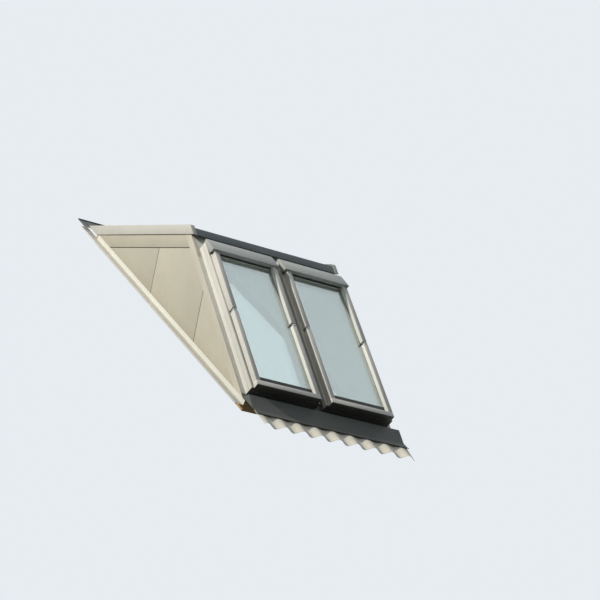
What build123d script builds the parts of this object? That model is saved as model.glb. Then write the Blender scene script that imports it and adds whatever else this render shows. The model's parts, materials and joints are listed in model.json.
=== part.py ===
from build123d import *
from math import cos, radians, sin
import os

# A prefabricated dormer with two centre-pivot windows, in millimetres.
# X runs along the ridge, Y into the building and Z up. The origin is the middle of the
# underside of the lower base rail, where it lies on the rafters.

# Slopes, in degrees from level
roof_pitch = 45
front_pitch = 66
deck_pitch = 20

# Main sizes
window_width = 780
window_height = 1910
window_gap = 80
ledge_width = 55
window_foot = 50          # window frame above the foot of the front
head_space = 195          # window frame's head to the underside of the roof edge
tile_depth = 110          # rafters to the tile line at the cheeks
foot_along = -10          # foot of the front up the roof from the origin

# Thicknesses
sheet = 1.5
joint_line = 0.2          # between two members of one assembly
cladding = 8
stud = 75
lining = 12
timber = 60
stud_start = 130          # cheek studs, level distances from the front corner
stud_pitch = 600
stud_count = 3

# Base frame
rail_width = 150
rail_depth = 90
side_rail_width = 75

# Roof cassette, measured square to its slope
joist_depth = 44
joist_width = 45
joist_count = 4
deck_board = 18
ceiling_board = 12
edge_height = 90          # side edge trims
edge_overhang = 12        # trims beyond the cheek cladding
front_overhang = 45       # front trim beyond the front
trim_sheet = 2
trim_drip = 6
trim_joint = -20          # butt joint of the front trim
trim_joint_gap = 3
rim_above_deck = 26
tray_length = 190
tray_rise = 92            # rear tray above the rafters

# Cheek cladding
fascia_height = 137
panel_joint = 8
first_seam = 545          # along the roof edge from the front corner
panel_width = 990
panel_foot = 88           # lower edge above the rafters

# Flashings
corner_return = 72
upstand = 50
head_lap = 20
ledge_lap_drop = 120       # head flashing's ends below the frame's head
soaker_flange = 90
soaker_level = 60
soaker_upstand = 46
soaker_welt = 12

# Apron, measured from the foot of the front
apron_shelf = (-100, -5)
apron_knee = (-165, -158)
apron_lip = (-238, -231)
apron_lip_radius = 4
skirt_start = 255
skirt_length = 245
skirt_head_length = 30
skirt_sheet = 2
skirt_head_dip = 1        # into the pans, at the skirt's head
tile_pitch = 204
tile_rows = 10            # half tiles to each side
pan_place = 76            # middle of a pan
roll_height = 44

# Window frame and sash
frame_stile = 40
frame_depth = 100
sash_side_gap = 4
sash_end_gap = 10
sash_stile = 46
sash_foot = 70
sash_head = 110
sash_low = 40             # inner face of the sash above the ledge
sash_high = 98
pane = 4
pane_inset = 64
pane_head_lap = 30
glazing_low = 100
glazing_high = 124
cover_clearance = 0.5
seal_width = 7
seal_depth = 2
seal_foot = 72            # foot of the panes to the visible glass
spacer_width = 9
spacer_inset = 5

# Window covers
cover_inset = 22
cover_width = 50
cover_skirt = 106
cover_high = 165
side_cover_return = 18
bar_foot = 8             # bottom bar below the window frame
bar_width = 57
head_cover_lap = 35
head_cover_high = 131
hood_drop = 172           # hood's lip below the frame's head
hood_length = 190
hood_lip_depth = 45
hood_high = 184
hood_back = 128
hood_side_depth = 66
hood_foot = 52

# Pivots
pivot_height = 160
drum_radius = 9
pin_radius = 4
pin_clearance = 0.05
pivot_stem = 16
lower_cover_gap = 14
upper_cover_gap = 22
bracket_width = 14
bracket_inset = 32
arm_inset = 53
bracket_plate = 2
bracket_foot = 60

# Control bar and bolt
bar_length = 480
grip_radius = 9
arm_length = 34
arm_width = 12
arm_thickness = 5
bar_pin_radius = 3
bar_pin_above = 40        # pin above the glass opening
bar_pin_drop = 14         # pin below the inner face of the sash
lug_thickness = 5
lug_gap = 1
lug_width = 20
bolt_radius = 4
bolt_clearance = 0.05
bolt_start = 102
bolt_travel = 18
bolt_height = 66
bolt_offset = 180
knob_radius = 9
knob_length = 14
knob_gap = 2
keeper_clearance = 0.6
keeper_depth = 14

# Derived sizes
half_width = ledge_width + window_width + window_gap / 2
frame_half = half_width - cladding
lining_face = frame_half - stud - lining
window_centre = (window_gap + window_width) / 2
window_head = window_foot + window_height
front_length = window_head + head_space
ledge_lap_along = window_head - ledge_lap_drop
pivot_along = window_foot + window_height / 2
cassette_half = half_width + edge_overhang - trim_sheet
deck_high = joist_depth + deck_board
trim_return = joist_width + trim_sheet + sheet

os.makedirs("parts", exist_ok=True)


def heading(pitch):
    """The direction up a slope, seen from the side."""
    return Vector(cos(radians(pitch)), sin(radians(pitch)))


def square(pitch):
    """The direction out of a slope, seen from the side."""
    return Vector(-sin(radians(pitch)), cos(radians(pitch)))


foot = heading(roof_pitch) * foot_along + square(roof_pitch) * tile_depth
eaves = foot + heading(front_pitch) * front_length


def on_front(along, out):
    return foot + heading(front_pitch) * along + square(front_pitch) * out


def on_deck(along, out):
    return eaves + heading(deck_pitch) * along + square(deck_pitch) * out


def on_roof(along, out):
    return heading(roof_pitch) * along + square(roof_pitch) * out


def front_line(out):
    return on_front(0, out), front_pitch


def deck_line(out):
    return on_deck(0, out), deck_pitch


def roof_line(out):
    return on_roof(0, out), roof_pitch


def meet(first, second):
    """Where two lines cross, each a point and a slope."""
    point, pitch = first
    other, other_pitch = second
    along = (other - point).dot(square(other_pitch)) / heading(pitch).dot(square(other_pitch))
    return point + heading(pitch) * along


def side_plane(x):
    return Plane.YZ.offset(x)


def front_origin(along, out, x=0):
    point = on_front(along, out)
    return Vector(x, point.X, point.Y)


front_up = Vector(0, heading(front_pitch).X, heading(front_pitch).Y)
front_out = Vector(0, square(front_pitch).X, square(front_pitch).Y)
roof_up = Vector(0, heading(roof_pitch).X, heading(roof_pitch).Y)


def face_plane(out):
    """Seen from the front: across, and up the front."""
    return Plane(origin=front_origin(0, out), x_dir=(1, 0, 0), z_dir=front_out)


def profile_plane(x):
    """Seen from the side: up the front, and out of it."""
    return Plane(origin=front_origin(0, 0, x), x_dir=front_up, z_dir=(1, 0, 0))


def cut_plane(along):
    """Seen down the front from a height on it: across, and out of the front."""
    return Plane(origin=front_origin(along, 0), x_dir=(1, 0, 0), z_dir=-front_up)


def outline(*points, mode=Mode.ADD):
    """A closed outline with straight sides."""
    Polygon(*points, align=None, mode=mode)


def box(first, last, low, high, mode=Mode.ADD):
    """A rectangle between two pairs of edges."""
    outline((first, low), (last, low), (last, high), (first, high), mode=mode)


def fold(*points, thickness=sheet):
    """The section of a folded sheet, thickened to the left of the given line."""
    with BuildLine() as path:
        Polyline(*points)
        offset(amount=thickness, side=Side.LEFT, kind=Kind.INTERSECTION)
    make_face(path.line.edges())


def ring(centre, outer_half, inner_half, outer, inner):
    """Two stiles and, between them, two rails, each a member of its own."""
    for edge in (-1, 1):
        box(centre + edge * inner_half, centre + edge * outer_half, *outer)
    rail_half = inner_half - joint_line
    box(centre - rail_half, centre + rail_half, outer[0], inner[0])
    box(centre - rail_half, centre + rail_half, inner[1], outer[1])


def edge_fold(centre, edge, *points):
    """A folded section on one edge of a window, its points counted out from the middle."""
    path = [(centre + edge * across, out) for across, out in points]
    fold(*path[::edge])


def save(piece, name):
    piece.part.label = name
    export_step(piece.part, f"parts/{name}.step")


sides = (("left", -1), ("right", 1))
roof_end = meet(deck_line(0), roof_line(rail_depth))
rail_top_along = roof_end.dot(heading(roof_pitch))

# Base frame: four rails that lie on the rafters
with BuildPart() as base_rail_lower:
    with BuildSketch(side_plane(-frame_half)):
        outline(on_roof(-rail_width / 2, 0), on_roof(rail_width / 2, 0),
                on_roof(rail_width / 2, rail_depth), on_roof(-rail_width / 2, rail_depth))
    extrude(amount=2 * frame_half)
save(base_rail_lower, "base_rail_lower")

with BuildPart() as base_rail_upper:
    with BuildSketch(side_plane(-frame_half)):
        outline(on_roof(rail_top_along - rail_width, 0), on_roof(rail_top_along, 0),
                on_roof(rail_top_along, rail_depth), on_roof(rail_top_along - rail_width, rail_depth))
    extrude(amount=2 * frame_half)
save(base_rail_upper, "base_rail_upper")

for side, sign in sides:
    with BuildPart() as base_rail:
        with BuildSketch(side_plane(sign * (frame_half - side_rail_width / 2))):
            outline(on_roof(rail_width / 2, 0), on_roof(rail_top_along - rail_width, 0),
                    on_roof(rail_top_along - rail_width, rail_depth),
                    on_roof(rail_width / 2, rail_depth))
        extrude(amount=side_rail_width / 2, both=True)
    save(base_rail, f"base_rail_{side}")

# Cheek frames: a mitred stud frame on each side, with insulation between its studs
cheek_corners = (meet(front_line(-sheet), deck_line(0)), roof_end,
                 meet(front_line(-sheet), roof_line(rail_depth)))
stud_places = [cheek_corners[0].X + stud_start + index * stud_pitch for index in range(stud_count)]

for side, sign in sides:
    middle = sign * (frame_half - stud / 2)
    with BuildPart() as cheek_frame:
        with BuildSketch(side_plane(middle)):
            outline(*cheek_corners)
            offset(amount=-timber, kind=Kind.INTERSECTION, mode=Mode.SUBTRACT)
            with Locations(*[(place, eaves.Y) for place in stud_places]):
                Rectangle(joist_width, 2 * front_length)
            outline(*cheek_corners, mode=Mode.INTERSECT)
        extrude(amount=stud / 2, both=True)
    save(cheek_frame, f"cheek_frame_{side}")

with BuildPart() as cheek_insulation:
    for side, sign in sides:
        with BuildSketch(side_plane(sign * (frame_half - stud / 2))):
            outline(*cheek_corners)
            offset(amount=-timber, kind=Kind.INTERSECTION, mode=Mode.REPLACE)
            with Locations(*[(place, eaves.Y) for place in stud_places]):
                Rectangle(joist_width, 2 * front_length, mode=Mode.SUBTRACT)
        extrude(amount=stud / 2, both=True)
save(cheek_insulation, "cheek_insulation")

for side, sign in sides:
    with BuildPart() as cheek_lining:
        with BuildSketch(side_plane(sign * (lining_face + lining / 2))):
            outline(meet(front_line(-sheet), deck_line(0)), roof_end,
                    meet(front_line(-sheet), roof_line(rail_depth)))
        extrude(amount=lining / 2, both=True)
    save(cheek_lining, f"cheek_lining_{side}")

# Front frame between the cheek linings: sill beam, header beam and middle post
opening_foot = window_foot + frame_stile
opening_head = window_head - frame_stile
sill_top = opening_foot - lining
header_foot = opening_head + lining
timber_face = -sheet
timber_back = timber_face - timber

with BuildPart() as front_sill:
    with BuildSketch(side_plane(-lining_face)):
        outline(meet(front_line(timber_face), roof_line(rail_depth)), on_front(sill_top, timber_face),
                meet((on_front(sill_top, 0), front_pitch + 90), roof_line(rail_depth)))
    extrude(amount=2 * lining_face)
save(front_sill, "front_sill")

with BuildPart() as front_header:
    with BuildSketch(side_plane(-lining_face)):
        outline(on_front(header_foot, timber_face), meet(front_line(timber_face), deck_line(0)),
                meet(front_line(timber_back), deck_line(0)), on_front(header_foot, timber_back))
    extrude(amount=2 * lining_face)
save(front_header, "front_header")

with BuildPart() as front_post_middle:
    with BuildSketch(side_plane(-window_gap / 2)):
        outline(on_front(sill_top, timber_face), on_front(header_foot, timber_face),
                on_front(header_foot, timber_back), on_front(sill_top, timber_back))
    extrude(amount=window_gap)
save(front_post_middle, "front_post_middle")

# Reveal boards round both openings, and the casing behind the middle post
reveal_back = timber_back - lining
with BuildPart() as window_reveal:
    for x_start in (-lining_face, window_gap / 2 + joint_line):
        with BuildSketch(side_plane(x_start)):
            outline(on_front(sill_top, timber_face), on_front(opening_foot, timber_face),
                    on_front(opening_foot, reveal_back), on_front(sill_top, reveal_back))
            outline(on_front(opening_head, timber_face), on_front(header_foot, timber_face),
                    on_front(header_foot, reveal_back), on_front(opening_head, reveal_back))
        extrude(amount=lining_face - window_gap / 2 - joint_line)
    with BuildSketch(side_plane(-window_gap / 2)):
        outline(on_front(sill_top, timber_back), on_front(header_foot, timber_back),
                on_front(header_foot, reveal_back), on_front(sill_top, reveal_back))
    extrude(amount=window_gap)
save(window_reveal, "window_reveal")

# Roof cassette: rims and joists, insulation, deck board, covering and ceiling
cassette_face = front_overhang - trim_sheet
rim_back = cassette_face - joist_width
rim_inside = cassette_half - joist_width
rim_high = deck_high + rim_above_deck
tray_high = tray_rise + sheet
joist_step = 2 * rim_inside / (joist_count + 1)
joist_places = [-rim_inside + joist_step * (index + 1) for index in range(joist_count)]


def cassette_outline(front, low, high, end=rail_depth):
    """A layer of the roof, between two lines and its front and rear ends."""
    outline(meet(front_line(front), deck_line(low)), meet(front_line(front), deck_line(high)),
            meet(deck_line(high), roof_line(end)), meet(deck_line(low), roof_line(end)))


def front_band(front, back, low, high):
    """A strip along the front of the roof, between two lines of each slope."""
    outline(meet(front_line(front), deck_line(low)), meet(front_line(front), deck_line(high)),
            meet(front_line(back), deck_line(high)), meet(front_line(back), deck_line(low)))


with BuildPart() as roof_joists:
    with BuildSketch(side_plane(-rim_inside)):
        front_band(cassette_face, rim_back, 0, joist_depth)
    extrude(amount=2 * rim_inside)
    for place in joist_places:
        with BuildSketch(side_plane(place)):
            cassette_outline(rim_back, 0, joist_depth)
        extrude(amount=joist_width / 2, both=True)
    for side, sign in sides:
        with BuildSketch(side_plane(sign * (cassette_half - joist_width / 2))):
            cassette_outline(cassette_face, 0, deck_high)
            cassette_outline(cassette_face, deck_high, rim_high, end=tray_high)
        extrude(amount=joist_width / 2, both=True)
save(roof_joists, "roof_joists")

bay_edges = [-rim_inside] + joist_places + [rim_inside]
with BuildPart() as roof_insulation:
    for index in range(joist_count + 1):
        bay_start = bay_edges[index] + (joist_width / 2 if index > 0 else 0)
        bay_end = bay_edges[index + 1] - (joist_width / 2 if index < joist_count else 0)
        with BuildSketch(side_plane(bay_start)):
            cassette_outline(rim_back, 0, joist_depth)
        extrude(amount=bay_end - bay_start)
save(roof_insulation, "roof_insulation")

with BuildPart() as roof_deck:
    with BuildSketch(side_plane(-rim_inside)):
        cassette_outline(cassette_face, joist_depth, deck_high)
    extrude(amount=2 * rim_inside)
save(roof_deck, "roof_deck")

tray_turn = meet(deck_line(deck_high), roof_line(tray_rise))
tray_end = tray_turn + heading(roof_pitch) * tray_length
tray_half = half_width + sheet + soaker_flange
with BuildPart() as roof_covering:
    with BuildSketch(side_plane(-rim_inside)):
        cassette_outline(cassette_face, deck_high, deck_high + sheet, end=tray_rise)
    extrude(amount=2 * rim_inside)
    with BuildSketch(side_plane(-tray_half)):
        fold(tray_turn, tray_end, tray_end + square(roof_pitch) * soaker_welt)
    extrude(amount=2 * tray_half)
    for side, sign in sides:
        with BuildSketch(side_plane(sign * (rim_inside - sheet / 2))):
            cassette_outline(cassette_face, deck_high, rim_high, end=tray_rise)
        extrude(amount=sheet / 2, both=True)
save(roof_covering, "roof_covering")

with BuildPart() as ceiling_lining:
    with BuildSketch(side_plane(-lining_face)):
        cassette_outline(timber_back, -ceiling_board, 0)
    extrude(amount=2 * lining_face)
save(ceiling_lining, "ceiling_lining")

# Cheek cladding: a fascia strip under the roof edge and three panels below it
lower_edge = -fascia_height
panel_top = lower_edge - panel_joint
cladding_corners = (meet(front_line(-sheet), deck_line(0)), meet(deck_line(0), roof_line(panel_foot)),
                    meet(front_line(-sheet), roof_line(panel_foot)))
far = 2 * front_length
second_seam = first_seam - panel_width
panel_spans = {"front": (-far, second_seam - panel_joint / 2),
               "middle": (second_seam + panel_joint / 2, first_seam - panel_joint / 2),
               "rear": (first_seam + panel_joint / 2, far)}

for side, sign in sides:
    middle = sign * (frame_half + cladding / 2)
    with BuildPart() as cheek_fascia:
        with BuildSketch(side_plane(middle)):
            outline(*cladding_corners)
            outline(on_deck(-far, lower_edge), on_deck(far, lower_edge), on_deck(far, far),
                    on_deck(-far, far), mode=Mode.INTERSECT)
        extrude(amount=cladding / 2, both=True)
    save(cheek_fascia, f"cheek_fascia_{side}")
    for place, (start, end) in panel_spans.items():
        with BuildPart() as cheek_panel:
            with BuildSketch(side_plane(middle)):
                outline(*cladding_corners)
                outline(on_deck(start, panel_top), on_deck(end, panel_top), on_deck(end, -far),
                        on_deck(start, -far), mode=Mode.INTERSECT)
            extrude(amount=cladding / 2, both=True)
        save(cheek_panel, f"cheek_panel_{side}_{place}")

# Edge trims round the roof: one on each side, and the front one in two lengths
trim_face = front_overhang
trim_half = half_width + edge_overhang
trim_inside = trim_half - trim_return
front_trim_high = deck_high + sheet + trim_sheet


for side, sign in sides:
    with BuildPart() as edge_trim:
        with BuildSketch(side_plane(sign * (trim_half - trim_sheet / 2))):
            cassette_outline(trim_face, -trim_drip, edge_height, end=tray_high)
        extrude(amount=trim_sheet / 2, both=True)
        with BuildSketch(side_plane(sign * (trim_half - trim_return / 2))):
            cassette_outline(trim_face, edge_height - trim_sheet, edge_height, end=tray_high)
            front_band(trim_face, cassette_face, -trim_drip, edge_height)
        extrude(amount=trim_return / 2, both=True)
        with BuildSketch(side_plane(sign * (half_width + edge_overhang / 2))):
            cassette_outline(trim_face, -trim_drip, trim_sheet - trim_drip, end=tray_high)
        extrude(amount=edge_overhang / 2, both=True)
    save(edge_trim, f"edge_trim_{side}")

front_trims = (("left", -trim_inside, trim_joint - trim_joint_gap / 2),
               ("right", trim_joint + trim_joint_gap / 2, trim_inside))
for side, x_start, x_end in front_trims:
    with BuildPart() as edge_trim_front:
        with BuildSketch(side_plane(x_start)):
            front_band(trim_face, cassette_face, -trim_drip, front_trim_high)
            front_band(trim_face, trim_face - trim_return, front_trim_high - trim_sheet,
                       front_trim_high)
            front_band(trim_face, sheet, -trim_drip, trim_sheet - trim_drip)
        extrude(amount=x_end - x_start)
    save(edge_trim_front, f"edge_trim_front_{side}")

# Corner flashings: return on the cheek, ledge beside the window and upstand against its frame
frame_outside = half_width - ledge_width
for side, sign in sides:
    with BuildPart() as corner_flashing:
        with BuildSketch(side_plane(sign * (half_width + sheet / 2))):
            outline(meet(front_line(0), roof_line(panel_foot)),
                    meet(front_line(0), deck_line(-trim_drip)),
                    meet(front_line(-corner_return), deck_line(-trim_drip)),
                    meet(front_line(-corner_return), roof_line(panel_foot)))
        extrude(amount=sheet / 2, both=True)
        with BuildSketch(side_plane(sign * (half_width + sheet - (ledge_width + sheet) / 2))):
            outline(meet(front_line(0), roof_line(rail_depth)),
                    meet(front_line(0), deck_line(-trim_drip)),
                    meet(front_line(-sheet), deck_line(-trim_drip)),
                    meet(front_line(-sheet), roof_line(rail_depth)))
        extrude(amount=(ledge_width + sheet) / 2, both=True)
        with BuildSketch(side_plane(sign * (frame_outside + sheet / 2))):
            outline(on_front(window_foot, 0), on_front(window_head, 0),
                    on_front(window_head, upstand), on_front(window_foot, upstand))
        extrude(amount=sheet / 2, both=True)
    save(corner_flashing, f"corner_flashing_{side}")

with BuildPart() as centre_gutter:
    with BuildSketch(side_plane(-window_gap / 2)):
        outline(on_front(window_foot, -sheet), on_front(window_head + head_lap, -sheet),
                on_front(window_head + head_lap, 0), on_front(window_foot, 0))
    extrude(amount=window_gap)
    for side, sign in sides:
        with BuildSketch(side_plane(sign * (window_gap / 2 - sheet / 2))):
            outline(on_front(window_foot, 0), on_front(window_head, 0),
                    on_front(window_head, upstand), on_front(window_foot, upstand))
        extrude(amount=sheet / 2, both=True)
save(centre_gutter, "centre_gutter")

head_top = (meet(front_line(sheet), deck_line(-trim_drip)) - foot).dot(heading(front_pitch))
with BuildPart() as head_flashing:
    with BuildSketch(face_plane(0)):
        with Locations((0, (ledge_lap_along + head_top) / 2)):
            Rectangle(2 * (half_width + sheet), head_top - ledge_lap_along)
        with Locations((0, window_head - front_length / 2)):
            Rectangle(2 * (frame_outside + sheet), front_length, mode=Mode.SUBTRACT)
    extrude(amount=sheet)
    for side, sign in sides:
        with BuildSketch(side_plane(sign * window_centre)):
            outline(on_front(window_head, 0), on_front(window_head, upstand),
                    on_front(window_head + sheet, upstand), on_front(window_head + sheet, 0))
        extrude(amount=window_width / 2, both=True)
save(head_flashing, "head_flashing")

# Side soakers, under the tiles along both cheeks
soaker_high = soaker_level + soaker_upstand
flange_end = (tray_turn + tray_end).dot(heading(roof_pitch)) / 2
upstand_end = meet(deck_line(-trim_drip), roof_line(soaker_high)).dot(heading(roof_pitch))
for side, sign in sides:
    inner = half_width + sheet
    with BuildPart() as side_soaker:
        for width, end, low, high in ((sheet, upstand_end, soaker_level, soaker_high),
                                      (soaker_flange, flange_end, soaker_level, soaker_level + sheet)):
            with BuildSketch(side_plane(sign * (inner + width / 2))):
                outline(on_roof(-rail_width / 2, low), on_roof(end, low), on_roof(end, high),
                        on_roof(-rail_width / 2, high))
            extrude(amount=width / 2, both=True)
        with BuildSketch(side_plane(sign * (inner + soaker_flange - sheet / 2))):
            outline(on_roof(-rail_width / 2, soaker_level), on_roof(flange_end, soaker_level),
                    on_roof(flange_end, soaker_level + soaker_welt),
                    on_roof(-rail_width / 2, soaker_level + soaker_welt))
        extrude(amount=sheet / 2, both=True)
    save(side_soaker, f"side_soaker_{side}")

# Apron sheet: upstands below the frames, face, shelf, wall and flange with a beaded lip
shelf, knee, lip = [foot + Vector(*place) for place in (apron_shelf, apron_knee, apron_lip)]
flange_low = knee.dot(square(roof_pitch))

with BuildPart() as apron_sheet:
    with BuildSketch(side_plane(-half_width - sheet)):
        fold(lip, knee, shelf, foot, on_front(window_foot, 0))
        with Locations(lip + square(roof_pitch) * apron_lip_radius):
            Circle(apron_lip_radius)
    extrude(amount=2 * (half_width + sheet))
    for side, sign in sides:
        with BuildSketch(side_plane(sign * (half_width + sheet / 2))):
            outline(foot, shelf, knee)
        extrude(amount=sheet / 2, both=True)
        with BuildSketch(side_plane(sign * window_centre)):
            outline(on_front(window_foot - sheet, 0), on_front(window_foot - sheet, upstand),
                    on_front(window_foot, upstand), on_front(window_foot, 0))
        extrude(amount=window_width / 2, both=True)
save(apron_sheet, "apron_sheet")

# Apron skirt, dressed over the rolls and pans of the tiles
half_tile = tile_pitch / 2
with BuildPart() as apron_skirt:
    for distance, dip in ((skirt_start, skirt_head_dip), (skirt_start + skirt_length, roll_height)):
        place = on_roof(foot_along - distance, 0)
        middle = flange_low - skirt_sheet / 2 - dip / 2
        with BuildSketch(Plane(origin=(0, place.X, place.Y), x_dir=(1, 0, 0), z_dir=-roof_up)):
            with BuildLine():
                for index in range(-tile_rows, tile_rows):
                    start = pan_place + (index - 0.5) * half_tile
                    swing = dip / 2 * (-1 if index % 2 == 0 else 1)
                    ThreePointArc((start, middle), (start + half_tile / 2, middle + swing),
                                  (start + half_tile, middle))
                offset(amount=skirt_sheet, side=Side.RIGHT)
            make_face()
            box(-half_width, half_width, 0, 2 * flange_low, mode=Mode.INTERSECT)
    loft(ruled=True)
    with BuildSketch(side_plane(-half_width)):
        outline(on_roof(foot_along - skirt_start, flange_low - skirt_sheet),
                on_roof(foot_along - skirt_start - skirt_head_length, flange_low - skirt_sheet),
                on_roof(foot_along - skirt_start - skirt_head_length, flange_low),
                on_roof(foot_along - skirt_start, flange_low))
    extrude(amount=2 * half_width)
save(apron_skirt, "apron_skirt")

# Windows: the same outlines for both, worked out from the frame
window_half = window_width / 2
opening_half = window_half - frame_stile
sash_half = opening_half - sash_side_gap
sash_start = opening_foot + sash_end_gap
sash_end = opening_head - sash_end_gap
glass_half = sash_half - sash_stile
glass_start = sash_start + sash_foot
glass_end = sash_end - sash_head
pane_half = window_half - pane_inset
pane_start = window_foot + pane_inset
pane_end = glass_end + pane_head_lap
cover_outer = window_half - cover_inset
cover_inner = cover_outer - cover_width
cover_low = glazing_high + cover_clearance
cladding_high = frame_depth + sheet
bar_start = window_foot - bar_foot
bar_end = bar_start + bar_width
lower_cover_end = pivot_along - lower_cover_gap
upper_cover_start = pivot_along + upper_cover_gap
head_cover_foot = glass_end - head_cover_lap
hood_lip = window_head - hood_drop
hood_end = hood_lip + hood_length
bolt_end = glass_start + bolt_travel + knob_gap
bar_pin_along = glass_end + bar_pin_above
bar_pin_height = sash_low - bar_pin_drop
edges = (-1, 1)

for side, sign in sides:
    centre = sign * window_centre
    bolt_place = centre + bolt_offset

    with BuildPart() as window_frame:
        with BuildSketch(face_plane(-sheet)):
            ring(centre, window_half, opening_half, (window_foot, window_head),
                 (opening_foot, opening_head))
        extrude(amount=sheet + frame_depth)
        with BuildSketch(cut_plane(opening_foot)):
            with Locations((bolt_place, bolt_height)):
                Circle(bolt_radius + keeper_clearance)
        extrude(amount=keeper_depth, mode=Mode.SUBTRACT)
    save(window_frame, f"window_frame_{side}")

    with BuildPart() as sash:
        with BuildSketch(face_plane(sash_low)):
            ring(centre, sash_half, glass_half, (sash_start, sash_end), (glass_start, glass_end))
        extrude(amount=sash_high - sash_low)
        with BuildSketch(cut_plane(glass_start)):
            with Locations((bolt_place, bolt_height)):
                Circle(bolt_radius + bolt_clearance)
        extrude(amount=sash_foot, mode=Mode.SUBTRACT)
    save(sash, f"sash_{side}")

    with BuildPart() as glazing:
        for level in (glazing_low, glazing_high - pane):
            with BuildSketch(face_plane(level)):
                box(centre - pane_half, centre + pane_half, pane_start, pane_end)
            extrude(amount=pane)
    save(glazing, f"glazing_{side}")

    # Seal under the inner pane, spacer between the panes and gasket over the foot of the outer one
    rings = ((sash_high, seal_depth, 0, seal_width),
             (glazing_low + pane, glazing_high - glazing_low - 2 * pane, spacer_inset, spacer_width))
    with BuildPart() as glazing_seal:
        for level, depth, inset, width in rings:
            with BuildSketch(face_plane(level)):
                for step, mode in ((inset, Mode.ADD), (inset + width, Mode.SUBTRACT)):
                    box(centre - pane_half + step, centre + pane_half - step,
                        pane_start + step, pane_end - step, mode=mode)
            extrude(amount=depth)
        with BuildSketch(face_plane(glazing_high)):
            box(centre - cover_inner, centre + cover_inner, pane_start, pane_start + seal_foot)
        extrude(amount=seal_depth)
    save(glazing_seal, f"glazing_seal_{side}")

    # Covers on the sash: bottom bar, two side covers and the head cover
    with BuildPart() as sash_covers:
        with BuildSketch(profile_plane(centre)):
            fold((bar_end, cover_skirt), (bar_end, cover_high), (bar_start, cover_high),
                 (bar_start, cover_skirt))
        extrude(amount=cover_outer, both=True)
        with BuildSketch(profile_plane(centre)):
            fold((pane_start - sheet, sash_high + sheet), (sash_start + sheet, sash_high + sheet),
                 (sash_start + sheet, cover_skirt), (bar_end - sheet, cover_skirt))
        extrude(amount=sash_half, both=True)
        for edge in edges:
            with BuildSketch(cut_plane(lower_cover_end)):
                edge_fold(centre, edge, (cover_outer, cover_skirt), (cover_outer, cover_high),
                          (cover_inner, cover_high), (cover_inner, cover_low))
            extrude(amount=lower_cover_end - bar_end - joint_line)
            with BuildSketch(profile_plane(centre + edge * (cover_outer + cover_inner) / 2)):
                box(lower_cover_end - sheet, lower_cover_end, cover_low, cover_high)
            extrude(amount=cover_width / 2, both=True)
            with BuildSketch(profile_plane(centre + edge * (cover_outer - sheet / 2))):
                box(bar_start, bar_end, cover_skirt, cover_high)
            extrude(amount=sheet / 2, both=True)
        with BuildSketch(profile_plane(centre)):
            fold((sash_end, sash_high), (sash_end, head_cover_high), (head_cover_foot, head_cover_high),
                 (head_cover_foot, cover_low))
        extrude(amount=cover_inner - knob_gap, both=True)
    save(sash_covers, f"sash_covers_{side}")

    # Covers on the frame: claddings round it, and fixed covers beside the upper half of the sash
    with BuildPart() as frame_covers:
        for edge in edges:
            with BuildSketch(cut_plane(window_head)):
                edge_fold(centre, edge, (window_half + sheet, upstand + sheet),
                          (window_half + sheet, cladding_high),
                          (window_half + sheet - side_cover_return, cladding_high))
            extrude(amount=window_height + sheet)
            with BuildSketch(cut_plane(hood_lip)):
                edge_fold(centre, edge, (cover_outer, frame_depth), (cover_outer, cover_high),
                          (cover_inner, cover_high), (cover_inner, cover_low))
            extrude(amount=hood_lip - upper_cover_start)
            with BuildSketch(profile_plane(centre + edge * (cover_outer + cover_inner) / 2)):
                box(upper_cover_start, upper_cover_start + sheet, cover_low, cover_high)
            extrude(amount=cover_width / 2, both=True)
        with BuildSketch(profile_plane(centre)):
            fold((window_foot - sheet + side_cover_return, cladding_high),
                 (window_foot - sheet, cladding_high), (window_foot - sheet, upstand + sheet))
        extrude(amount=window_half + sheet - side_cover_return - joint_line, both=True)
        with BuildSketch(profile_plane(centre)):
            box(window_foot - sheet, window_foot, upstand + sheet, frame_depth - joint_line)
        extrude(amount=window_half - joint_line, both=True)
    save(frame_covers, f"frame_covers_{side}")

    with BuildPart() as window_hood:
        with BuildSketch(profile_plane(centre)):
            fold((hood_end, hood_foot), (hood_end, hood_back), (hood_lip, hood_high),
                 (hood_lip, hood_high - hood_lip_depth))
        extrude(amount=window_half, both=True)
        for edge in edges:
            with BuildSketch(profile_plane(centre + edge * (window_half - sheet / 2))):
                outline((hood_lip, hood_high), (hood_end, hood_back), (hood_end, cladding_high),
                        (hood_lip + hood_length / 3, cladding_high),
                        (hood_lip, hood_high - hood_side_depth))
            extrude(amount=sheet / 2, both=True)
    save(window_hood, f"window_hood_{side}")

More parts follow.
